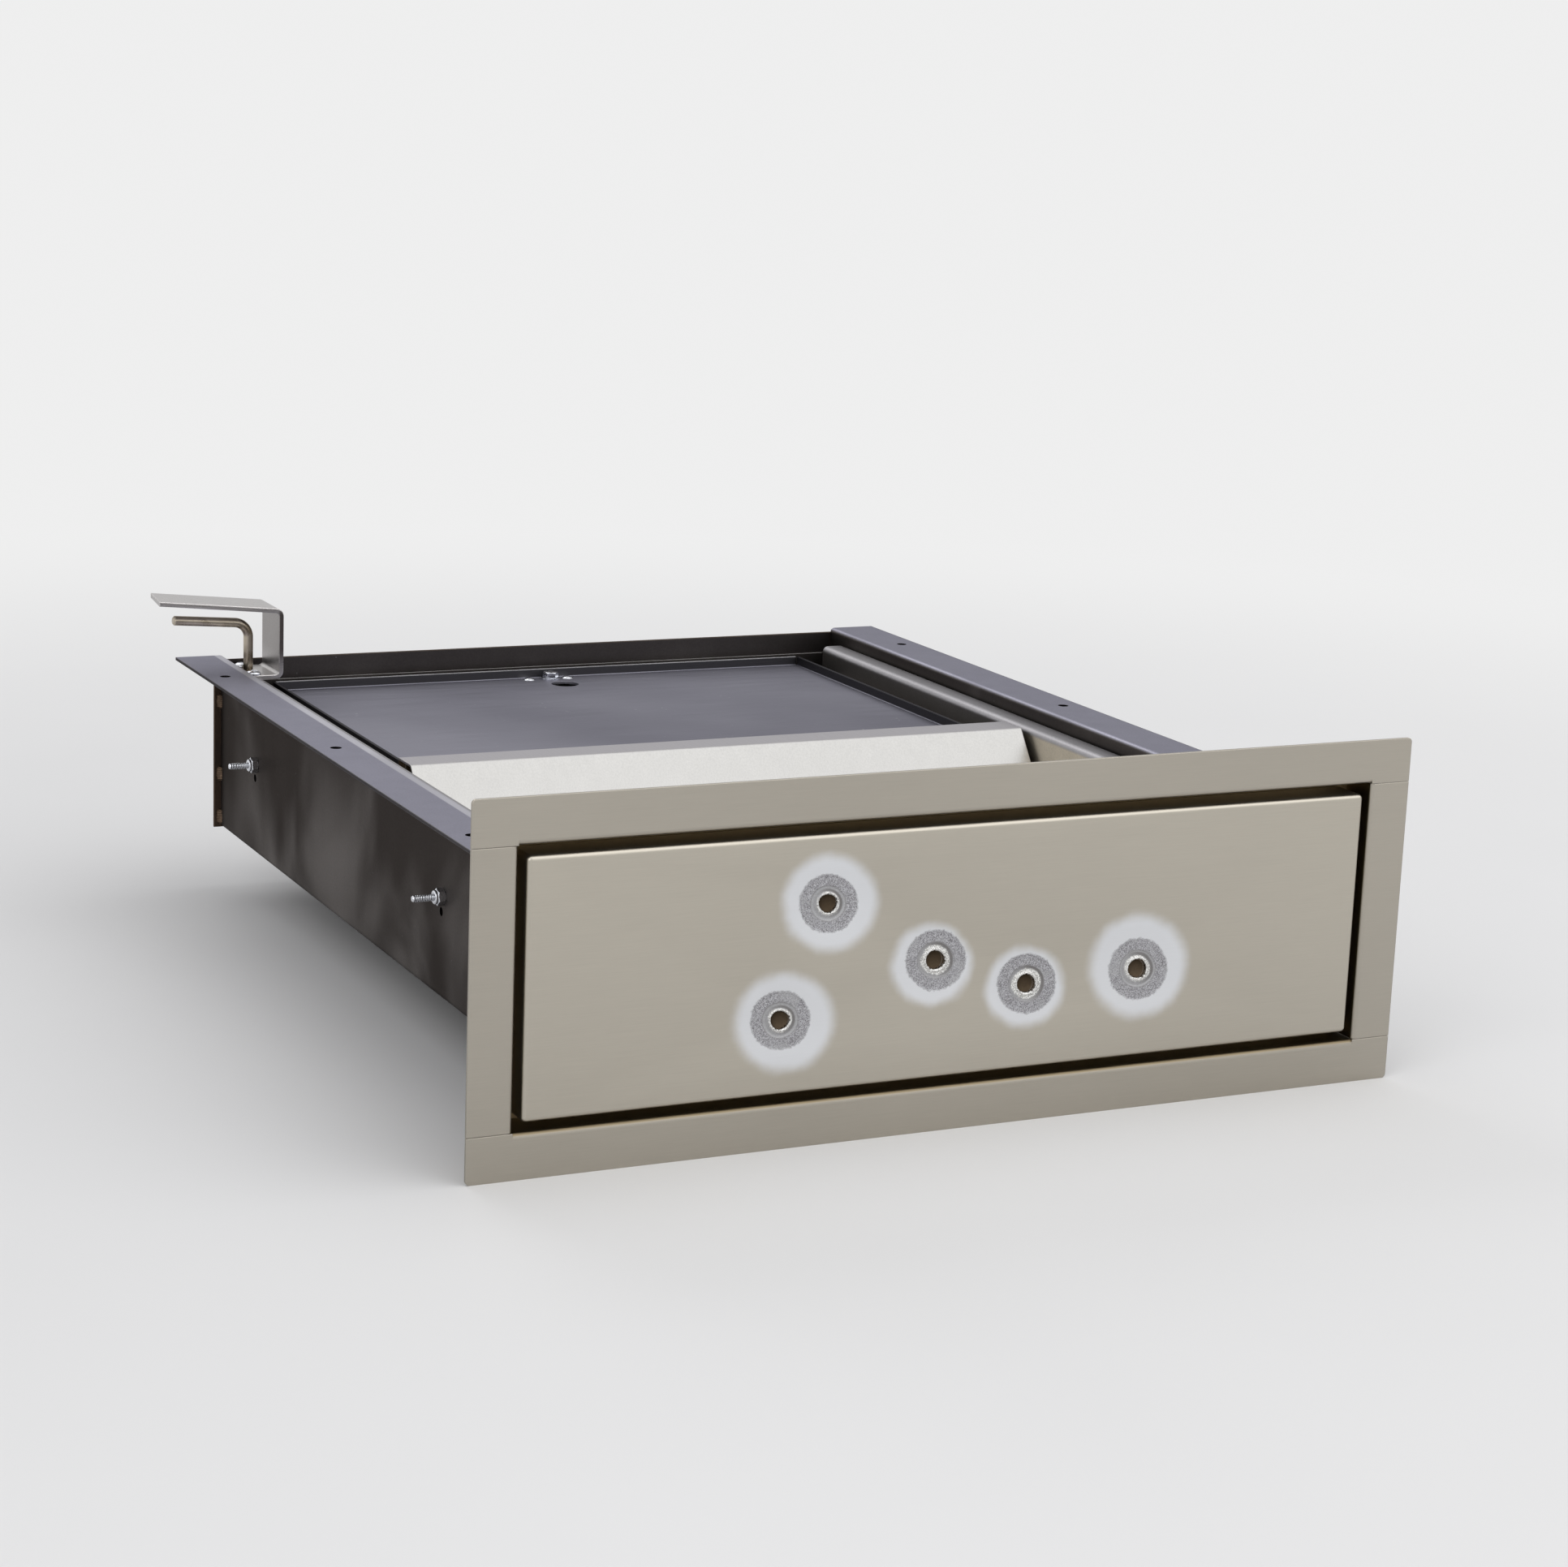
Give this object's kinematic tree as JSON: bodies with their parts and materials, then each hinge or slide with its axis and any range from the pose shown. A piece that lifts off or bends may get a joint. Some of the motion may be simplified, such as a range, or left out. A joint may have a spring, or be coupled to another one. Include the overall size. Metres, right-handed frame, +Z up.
{
  "type": "teller deposit drawer",
  "caption": "Under-counter transaction drawer: armoured stainless front in a folded faceplate, scoop tray, hinged rear deck, ball slides and a pull handle with a lift rod.",
  "frame": {"origin": "centre of the rectangle of the four corner bolt holes, on top of the flanges that hang from the counter", "axes": "+X to the right across the faceplate seen from the customer, +Y from the customer to the teller, +Z up"},
  "size_m": [0.5716, 0.6305, 0.2054],
  "materials": {
    "face_steel": "fine brushed grain running across",
    "housing_steel": "mill finish, cloudy dark reflections",
    "drawer_steel": "satin mill finish",
    "deck_steel": "satin, dusty",
    "scoop_steel": "brushed grain down the slope",
    "armor_steel": "hot rolled hard plate",
    "laminate": "glass fibre laminate",
    "weld_metal": "heat tinted beads",
    "slide_zinc": "bright zinc plate",
    "cage_zinc": "stamped strip",
    "ball_steel": "polished",
    "screw_zinc": "bright zinc plate",
    "strap_steel": "brushed, edges rounded",
    "rod_steel": "drawn bright rod",
    "magnet": "ceramic magnet",
    "rubber": "matt black rubber"
  },
  "bodies": {
    "housing": {"faceplate_top_rail": "face_steel", "faceplate_bottom_rail": "face_steel", "faceplate_left_stile": "face_steel", "faceplate_right_stile": "face_steel", "front_ring": "housing_steel", "pocket_gasket": "rubber", "housing_shell": "housing_steel", "housing_rear_wall": "housing_steel", "rear_weld_beads": "weld_metal", "rear_stop_plate": "housing_steel", "rear_bumpers": "rubber", "lock_keeper": "housing_steel", "slide_outer_left": "slide_zinc", "slide_outer_right": "slide_zinc", "slide_screws": "screw_zinc", "slide_nuts": "screw_zinc"},
    "drawer": {"drawer_side_left": "drawer_steel", "drawer_side_right": "drawer_steel", "drawer_pan": "drawer_steel", "drawer_rear_wall": "drawer_steel", "scoop_plate": "scoop_steel", "rear_armor_plate": "armor_steel", "front_skin": "face_steel", "front_armor_plate": "armor_steel", "front_laminate": "laminate", "front_back_plate": "drawer_steel", "front_panel_bolts": "screw_zinc", "deck_ledge_left": "drawer_steel", "deck_ledge_right": "drawer_steel", "hinge_fixed_leaf": "drawer_steel", "hinge_pin": "rod_steel", "catch_magnets": "magnet", "handle_strap": "strap_steel", "handle_screws": "screw_zinc", "handle_nuts": "screw_zinc", "rod_guide": "drawer_steel", "slide_inner_left": "slide_zinc", "slide_inner_right": "slide_zinc", "slide_rivets": "screw_zinc"},
    "deck_lid": {"deck_plate": "deck_steel", "hinge_moving_leaf": "deck_steel", "catch_striker": "deck_steel", "striker_bolt": "screw_zinc", "striker_washer": "screw_zinc", "striker_nut": "screw_zinc", "striker_rivets": "screw_zinc"},
    "lift_rod": {"lock_rod": "rod_steel", "rod_clip": "slide_zinc"},
    "mid_slide_left": {"slide_middle_left": "slide_zinc"},
    "ball_cage_outer_left": {"cage_outer_left": "cage_zinc", "balls_outer_left": "ball_steel"},
    "ball_cage_inner_left": {"cage_inner_left": "cage_zinc", "balls_inner_left": "ball_steel"},
    "mid_slide_right": {"slide_middle_right": "slide_zinc"},
    "ball_cage_outer_right": {"cage_outer_right": "cage_zinc", "balls_outer_right": "ball_steel"},
    "ball_cage_inner_right": {"cage_inner_right": "cage_zinc", "balls_inner_right": "ball_steel"}
  },
  "joints": [
    {"name": "drawer_slide", "type": "slide", "parent": "housing", "child": "drawer", "axis": [0, -1, 0], "range_m": [0, 0.3048]},
    {"name": "slide_middle_left", "type": "slide", "parent": "housing", "child": "mid_slide_left", "axis": [0, -1, 0], "range_m": [0, 0.1524]},
    {"name": "cage_outer_left", "type": "slide", "parent": "housing", "child": "ball_cage_outer_left", "axis": [0, -1, 0], "range_m": [0, 0.0762]},
    {"name": "cage_inner_left", "type": "slide", "parent": "housing", "child": "ball_cage_inner_left", "axis": [0, -1, 0], "range_m": [0, 0.2286]},
    {"name": "slide_middle_right", "type": "slide", "parent": "housing", "child": "mid_slide_right", "axis": [0, -1, 0], "range_m": [0, 0.1524]},
    {"name": "cage_outer_right", "type": "slide", "parent": "housing", "child": "ball_cage_outer_right", "axis": [0, -1, 0], "range_m": [0, 0.0762]},
    {"name": "cage_inner_right", "type": "slide", "parent": "housing", "child": "ball_cage_inner_right", "axis": [0, -1, 0], "range_m": [0, 0.2286]},
    {"name": "deck_lid_hinge", "type": "hinge", "parent": "drawer", "child": "deck_lid", "pos_m": [0, 0.0115, -0.0242], "axis": [1, 0, 0], "range_deg": [0, 90]},
    {"name": "lock_rod_lift", "type": "slide", "parent": "drawer", "child": "lift_rod", "axis": [0, 0, 1], "range_m": [0, 0.007]}
  ],
  "couplings": [
    {"joint": "slide_middle_left", "follows": "drawer_slide", "ratio": 0.5},
    {"joint": "cage_outer_left", "follows": "drawer_slide", "ratio": 0.25},
    {"joint": "cage_inner_left", "follows": "drawer_slide", "ratio": 0.75},
    {"joint": "slide_middle_right", "follows": "drawer_slide", "ratio": 0.5},
    {"joint": "cage_outer_right", "follows": "drawer_slide", "ratio": 0.25},
    {"joint": "cage_inner_right", "follows": "drawer_slide", "ratio": 0.75}
  ]
}
